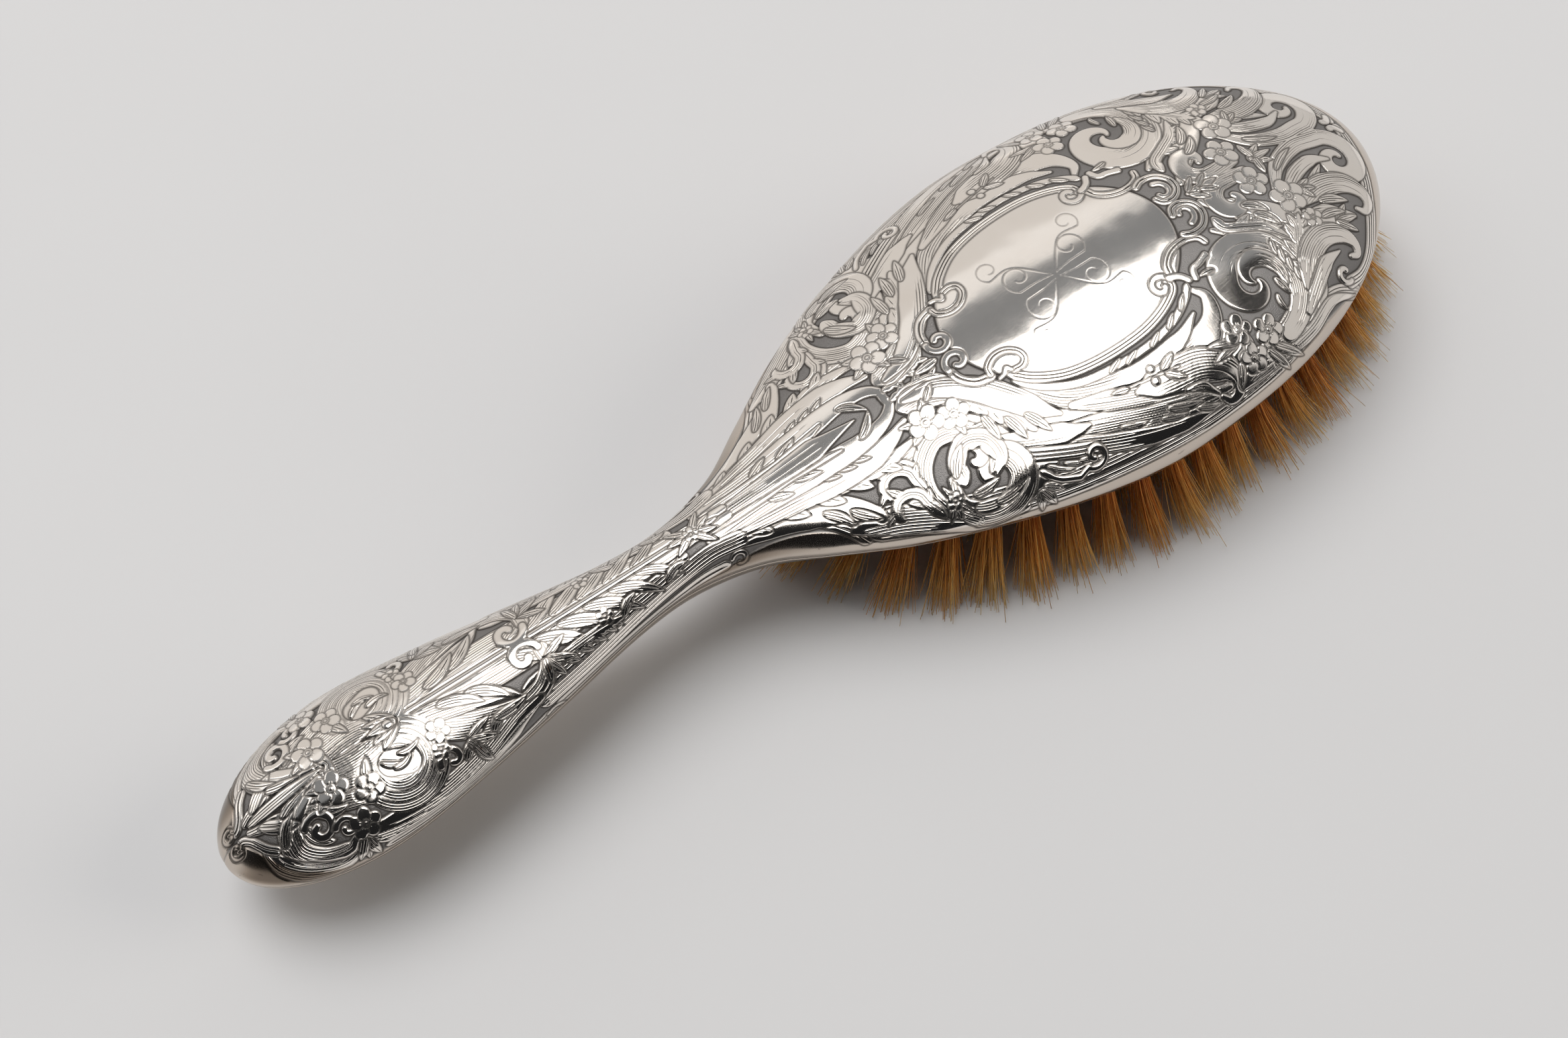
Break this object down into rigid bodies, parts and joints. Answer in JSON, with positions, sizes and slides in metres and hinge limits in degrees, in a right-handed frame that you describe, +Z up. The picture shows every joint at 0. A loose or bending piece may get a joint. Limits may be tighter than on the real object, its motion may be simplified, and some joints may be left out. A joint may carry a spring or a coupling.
{
  "type": "vanity hairbrush",
  "caption": "Oval-headed dressing-table hairbrush: domed stamped silver back and handle over a wood block of drawn bristle tufts.",
  "frame": {"origin": "centre of the bounding box's base, on the plane of the trimmed bristle ends that the brush rests on", "axes": "+X along the brush from the handle end to the head tip, +Y across the head, +Z up through the domed back"},
  "size_m": [0.2396, 0.075, 0.0314],
  "materials": {
    "silver": "polished silver with a dark patina in the recesses",
    "block_wood": "oiled hardwood",
    "veneer_wood": "unfinished veneer",
    "filler": "cast pitch",
    "bristle": "natural boar bristle",
    "wire": "drawn wire"
  },
  "bodies": {
    "root": {"back_shell": "silver", "under_shell": "silver", "opening_collar": "silver", "bristle_block": "block_wood", "backing_veneer": "veneer_wood", "head_filler": "filler", "handle_filler": "filler", "tufts_border_left": "bristle", "tufts_border_right": "bristle", "tufts_row_center": "bristle", "tufts_row_left_1": "bristle", "tufts_row_left_2": "bristle", "tufts_row_left_3": "bristle", "tufts_row_right_1": "bristle", "tufts_row_right_2": "bristle", "tufts_row_right_3": "bristle", "wire_border_left": "wire", "wire_border_right": "wire", "wire_row_center": "wire", "wire_row_left_1": "wire", "wire_row_left_2": "wire", "wire_row_left_3": "wire", "wire_row_right_1": "wire", "wire_row_right_2": "wire", "wire_row_right_3": "wire"}
  },
  "joints": []
}
